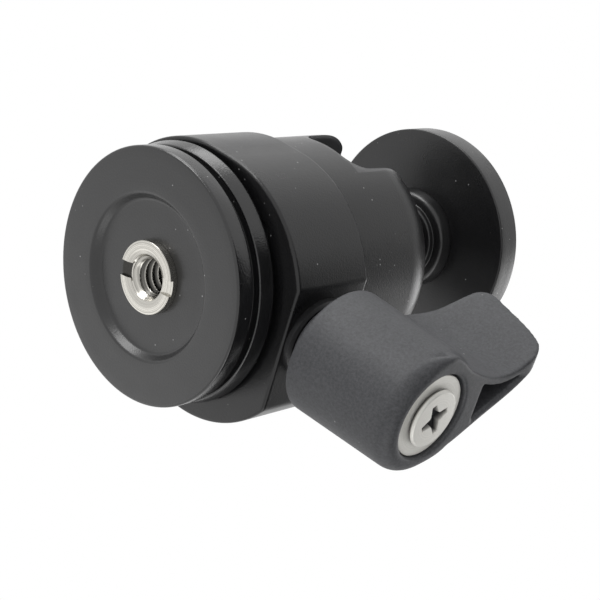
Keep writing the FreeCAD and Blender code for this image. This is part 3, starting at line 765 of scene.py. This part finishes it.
class BALLHEAD_OT_knob(bpy.types.Operator):
    """Knob with its curved wing, softened as a moulding is"""
    bl_idname = "ball_head.knob"
    bl_label = "Knob"

    # Radius of the barrel and reach of the wing, as in the solid
    barrel, wing = 9.25, 27.2

    def execute(self, context):
        s = context.scene.ball_head_sizes
        end = high("knob_lever")[0]
        # Angles about the shaft over which a corner runs, from the wing outwards, on both sides
        near, far = math.pi + np.linspace(-0.2, 0.75, 30), np.linspace(1.1, 0.15, 30)
        mesh = merged_copy(
            "knob_lever", self.pocket_wall(end), self.recess_ring(end),
            self.corner(end, near, at_wing=0.5), self.corner(end, far, at_wing=1.2),
        )
        much_more, kept_share = 8, 0.55
        soft = grown_soft(mesh, s.knob_grain, s.knob_softening)
        softer = grown_soft(mesh, s.knob_grain, s.knob_softening * much_more)
        place = self.moulded(points_of(soft), points_of(softer), end)
        soft.vertices.foreach_set("co", (place * MM).astype(np.float32).ravel())
        soft.update()
        soft = changed(soft, ("DECIMATE", {"ratio": kept_share}))
        smoothed(soft)
        soft.update()
        soft.name = "moulded_knob"
        piece("moulded_knob", soft, "knob", "knob_plastic", finish_material("knob_plastic"), "knob_lever")
        return {"FINISHED"}

    def moulded(self, place, softer, end):
        """Points of the knob with the wing's rim softened and two places filled out."""
        x, y, z = place.T
        # The rim takes a share of the softer points past a height above the shaft, and not at the end
        share, height, rise, margin, fade = 0.6, 15, 5, 1.0, 1.5
        rim = share * np.clip((z - SHAFT_Z - height) / rise, 0, 1) * np.clip((end - margin - x) / fade, 0, 1)
        place = place + (softer - place) * rim[:, None]
        # The valley where the wing's full side leaves the barrel is filled by a bell along the knob,
        # on the outside alone
        valley_y, valley_z, skin, skin_fade = 6.85, 5.95, 7.4, 1.2
        outside = np.clip((np.hypot(y, z - SHAFT_Z) - skin) / skin_fade, 0, 1)
        push = self.bell(0.35, y - valley_y, z - SHAFT_Z - valley_z, width=2.2) * outside
        place = place + push[:, None] * np.array([0, 0.755, 0.656])
        # The wing's outer corner reaches a little further
        corner_z = 21.5
        push = self.bell(0.55, x - end, z - SHAFT_Z - corner_z, width=3.2)
        return place + push[:, None] * np.array([0.45, 0, 0.89])

    def bell(self, height, across, up, width):
        """Bell of a height and a width: height e^(-(across^2 + up^2) / (2 width^2))."""
        return height * np.exp(-(across ** 2 + up ** 2) / (2 * width ** 2))

    def pocket_wall(self, end):
        """Slab that thickens the pocket's outer wall: it follows the wing's full side between two
        insets, and closes to a point at both ends."""
        steps, depth, front = 24, 12, 0.2
        outer_back, outer_front, inner = 0.7, 0.9, 1.9
        # The full side in shares: up the wing, and across it in radii of the barrel
        up, side = (0.33, 0.47, 0.607, 0.737, 0.785), (0.55, 0.34, 0.12, -0.17, -0.3)
        along = np.linspace(0.36, 0.745, steps)
        y, z = self.barrel * np.interp(along, up, side), SHAFT_Z + self.wing * along
        corners = (
            (end - depth, outer_back), (end - front, outer_front), (end - front, inner), (end - depth, inner),
        )
        grid = np.array([np.stack([np.full(steps, x), y - inset, z], -1) for x, inset in corners])
        grid[:, [0, -1]] = grid[:, [0, -1]].mean(0)
        return sheet_mesh("pocket_wall", grid)

    def corner(self, end, angle, at_wing):
        """Wedge on the barrel's rounded end that leads into the wing: over the given angles its
        rounding grows from a small radius at the wing to the barrel's own."""
        own = 2.4
        rounding = at_wing + (own - at_wing) * eased(np.linspace(0, 1, len(angle)))
        lean = np.linspace(0, np.pi / 2, 7)[:, None]
        arc_r = self.barrel - rounding * (1 - np.cos(lean))
        arc_x = end - rounding * (1 - np.sin(lean))
        radius = np.concatenate([arc_r, np.full((2, len(angle)), self.barrel - own)])
        back = np.repeat([[end], [end - own]], len(angle), 1)
        grid = along_knob(radius, np.concatenate([arc_x, back]), angle[None, :])
        grid[:, [0, -1]] = grid[:, [0, -1]].mean(0)
        return sheet_mesh("corner", grid)

    def recess_ring(self, end):
        """Ring that narrows the recess round the washer, a little off the knob's axis."""
        inner, outer, depth, off_axis = 6.5, 7.6, 1.8, (0, -0.06, 0.12)
        inner_top, outer_top = end - 0.1, end - 0.15
        profile = [(inner, end - depth), (outer, end - depth), (outer, outer_top), (inner, inner_top)]
        return turned("recess_ring", profile, lambda r, x, angle: along_knob(r, x, angle) + off_axis)


class BALLHEAD_OT_screw(bpy.types.Operator):
    """Washer and pan head screw in the knob's end"""
    bl_idname = "ball_head.screw"
    bl_label = "Knob screw and washer"

    def execute(self, context):
        steel = finish_material("plain_steel")
        inner, outer = low("knob_washer")[0], high("knob_washer")[0]
        radius = (high("knob_washer")[1] - low("knob_washer")[1]) / 2
        hole, inner_edge, outer_edge = 2.15, 0.12, 0.14
        profile = rounded([
            (hole, inner, FINE), (radius, inner, inner_edge),
            (radius, outer, outer_edge), (hole, outer, FINE),
        ])
        mesh = turned("plain_washer", filled(profile, longest=1.0), along_knob)
        piece("plain_washer", mesh, "knob", "plain_steel", steel, "knob_washer")
        mesh = self.screw(context.scene.ball_head_sizes, outer)
        piece("cross_screw", mesh, "knob", "plain_steel", steel, "knob_screw")
        return {"FINISHED"}

    def screw(self, s, seat):
        """Screw: a shank, and a head that is a low dome with a rolled edge, less a cross whose
        walls lean in towards its floor. A share of painted shade darkens the cross and the shank."""
        top, tip, turns = high("knob_screw")[0], low("knob_screw")[0], 256
        head, rim, doming, roll, roll_power = 4.4, 4.05, 0.06, 0.34, 1.6
        angle = round_angles(turns)
        share = np.linspace(1, 0, 130)[:, None]
        r = head * share
        dome = top - doming * share ** 2 - roll * np.clip((r - rim) / (head - rim), 0, 1) ** roll_power
        # Cross: how far a point is along an arm and beside it, the arm narrowing outwards
        turn, root_width, narrowing, wall, end_wall, core, core_wall = 0.47, 1.35, 0.75, 0.16, 0.3, 1.25, 0.25
        a, b = np.abs(r * np.cos(angle - turn)), np.abs(r * np.sin(angle - turn))
        long, wide = np.maximum(a, b), np.minimum(a, b)
        taper = s.cross_width * (root_width - narrowing * long / s.cross_reach)
        cut = np.clip(np.minimum((taper - wide) / wall, (s.cross_reach - long) / end_wall), 0, 1)
        cut = eased(np.maximum(cut, np.clip((core - r) / core_wall, 0, 1)))
        deepest, rise = 1.5, 0.7
        floor = top - deepest + rise * np.clip(r / s.cross_reach, 0, 1)
        x = dome + (floor - dome) * cut
        # Shank: from its tip up to the seat, and out under the head
        shank, under, under_edge, lift = 2.0, 0.4, 0.1, 0.3
        below = np.array([
            (0, tip), (shank, tip), (shank, seat), (head - under, seat), (head - under_edge, seat + lift),
        ])
        radii = np.concatenate([np.repeat(below[:, :1], turns, 1), np.repeat(r, turns, 1)])
        places = np.concatenate([np.repeat(below[:, 1:], turns, 1), x])
        # Painted shade: how strongly the shank and the cross are darkened in the material
        shank_painted_shade, cross_painted_shade = 0.9, 1.3
        painted_shade = np.concatenate([np.full((len(below), turns), shank_painted_shade), np.clip(cut * cross_painted_shade, 0, 1)])
        return sheet_mesh("cross_screw", along_knob(radii, places, angle), sharp=40, painted_shade=painted_shade)


# Stage

# Soft lamps: name, azimuth and elevation in degrees, width in metres, power in watts
LAMPS = (
    ("key", -124, -21, 0.4, 2.9), ("strip", -129, 18, 0.36, 1.1), ("top", -118, 52, 0.4, 0.1),
    ("foot", 132, -35, 0.36, 0.21), ("side", 50, -10, 0.4, 0.9), ("rim", 42, 68, 0.3, 0.8),
)
LAMP_DISTANCE = 0.75
# Black flags: azimuth and elevation in degrees, then width and height in metres
FLAGS = ((6, 20, 1.4, 0.55), (-151, 86, 0.3, 0.34))
FLAG_DISTANCE = 0.5
# Middle of the head, where lamps and flags face
CENTRE = Vector((0.01, -0.005, 0.035))


def outward(azimuth, elevation, distance):
    """Offset in a direction given in degrees: azimuth from +X, elevation above the floor."""
    a, e = math.radians(azimuth), math.radians(elevation)
    return Vector((math.cos(e) * math.cos(a), math.cos(e) * math.sin(a), math.sin(e))) * distance


def quad(name, corners, material):
    """Stage object of four corners in metres that neither lights nor shades the head."""
    mesh = bpy.data.meshes.new(name)
    mesh.from_pydata(corners, [], [(0, 1, 2, 3)])
    mesh.materials.append(material)
    made = bpy.data.objects.new(name, mesh)
    bpy.context.scene.collection.objects.link(made)
    made.visible_diffuse = False
    made.visible_transmission = False
    made.visible_shadow = False
    return made


def stage_material(name, base, rough):
    """New material with its tree and its Principled shader, of one colour and roughness."""
    material = bpy.data.materials.new(name)
    material.use_nodes = True
    shader = material.node_tree.nodes["Principled BSDF"]
    shader.inputs["Base Color"].default_value = (*base, 1)
    shader.inputs["Roughness"].default_value = rough
    return material, material.node_tree, shader


class BALLHEAD_OT_stage(bpy.types.Operator):
    """Pale floor, white surroundings, soft lights and the camera"""
    bl_idname = "ball_head.stage"
    bl_label = "Studio stage"

    def execute(self, context):
        self.camera(context)
        self.world(context)
        self.floor(context)
        for name, azimuth, elevation, width, power in LAMPS:
            self.softbox(context, name, outward(azimuth, elevation, LAMP_DISTANCE), width, power)
        for azimuth, elevation, width, height in FLAGS:
            self.flag(outward(azimuth, elevation, FLAG_DISTANCE), width / 2, height / 2)
        context.scene.view_settings.view_transform = "Standard"
        return {"FINISHED"}

    def camera(self, context):
        """Camera at the photograph's place: its axes are the rows of the fitted turn."""
        data = bpy.data.cameras.new("camera")
        data.lens = 81.97
        data.sensor_width = 36
        data.clip_start = 0.005
        made = bpy.data.objects.new("camera", data)
        right = Vector((0.68943005, -0.27005753, 0.67212732))
        down = Vector((0.46684941, 0.87513481, -0.12724267))
        forward = Vector((-0.55383917, 0.40150716, 0.72942043))
        place = Vector((0.1255875, -0.0820448, -0.1286039))
        turn = Matrix((right, -down, -forward)).transposed().to_4x4()
        made.matrix_world = Matrix.Translation(place) @ turn
        context.scene.collection.objects.link(made)
        context.scene.camera = made

    def world(self, context):
        """White to the camera, in gloss and through glass, a softer white as light."""
        as_light, as_seen = 0.7, 1.0
        world = bpy.data.worlds.new("studio")
        context.scene.world = world
        world.use_nodes = True
        tree = world.node_tree
        path = tree.nodes.new("ShaderNodeLightPath")
        seen = path.outputs["Is Camera Ray"]
        for ray in ("Is Glossy Ray", "Is Transmission Ray"):
            seen = new_node(tree, "ShaderNodeMath", 0, {0: seen, 1: path.outputs[ray]}, operation="MAXIMUM")
        sky = tree.nodes["Background"]
        sky.inputs["Color"].default_value = (1, 1, 1, 1)
        feed(tree, sky.inputs["Strength"], ranged(tree, seen, WHOLE, (as_light, as_seen)))

    def floor(self, context):
        """Floor that is see-through from below, where the photograph's camera stands."""
        reach, level = 1.5, -0.0002
        base = context.scene.ball_head_colours.floor
        material, tree, shader = stage_material("pale_floor", base, rough=0.9)
        below = new_node(tree, "ShaderNodeNewGeometry", "Backfacing", {})
        clear = new_node(tree, "ShaderNodeBsdfTransparent", "BSDF", {})
        inputs = {"Fac": below, 1: shader.outputs["BSDF"], 2: clear}
        mix = new_node(tree, "ShaderNodeMixShader", "Shader", inputs)
        feed(tree, tree.nodes["Material Output"].inputs["Surface"], mix)
        ways = ((-1, -1), (1, -1), (1, 1), (-1, 1))
        made = quad("floor", [(x * reach, y * reach, level) for x, y in ways], material)
        made.visible_glossy = False

    def flag(self, offset, half, up):
        """Black studio flag: seen in the gloss alone, it gives the dark bands their place. Its
        corners are uneven, so that no band ends on a straight line."""
        longer = 1.3
        material = stage_material("black_flag", (0.01, 0.01, 0.01), rough=1.0)[0]
        corners = [(-half * longer, -up, 0), (half, -up, 0), (half, up * longer, 0), (-half / 2, up, 0)]
        made = quad("flag", corners, material)
        made.location = CENTRE + offset
        made.rotation_euler = offset.to_track_quat("Z", "Y").to_euler()
        made.visible_camera = False

    def softbox(self, context, name, offset, width, power):
        """Square area light at an offset from the head, turned to face it."""
        data = bpy.data.lights.new(name, "AREA")
        data.size = width
        data.energy = power
        made = bpy.data.objects.new(name, data)
        made.location = CENTRE + offset
        made.rotation_euler = (-offset).to_track_quat("-Z", "Y").to_euler()
        context.scene.collection.objects.link(made)


class BALLHEAD_PT_panel(bpy.types.Panel):
    """Lists the pieces, sizes and colours of the ball head in the sidebar"""
    bl_idname = "BALLHEAD_PT_panel"
    bl_label = "Ball head"
    bl_space_type = "VIEW_3D"
    bl_region_type = "UI"
    bl_category = "Ball head"

    def draw(self, context):
        for step in STEPS:
            self.layout.operator(step.bl_idname)
        for group in (context.scene.ball_head_sizes, context.scene.ball_head_colours):
            column = self.layout.column()
            for name in group.__annotations__:
                column.prop(group, name)


STEPS = (
    BALLHEAD_OT_stage, BALLHEAD_OT_solids, BALLHEAD_OT_foot, BALLHEAD_OT_bushing, BALLHEAD_OT_ball,
    BALLHEAD_OT_platform, BALLHEAD_OT_knob, BALLHEAD_OT_screw,
)
CLASSES = (BallHeadSizes, BallHeadColours, *STEPS, BALLHEAD_PT_panel)


def register():
    for each in CLASSES:
        bpy.utils.register_class(each)
    bpy.types.Scene.ball_head_sizes = PointerProperty(type=BallHeadSizes)
    bpy.types.Scene.ball_head_colours = PointerProperty(type=BallHeadColours)


def unregister():
    del bpy.types.Scene.ball_head_colours
    del bpy.types.Scene.ball_head_sizes
    for each in reversed(CLASSES):
        bpy.utils.unregister_class(each)


def main():
    register()
    for step in STEPS:
        group, name = step.bl_idname.split(".")
        getattr(getattr(bpy.ops, group), name)()


if __name__ == "__main__":
    main()
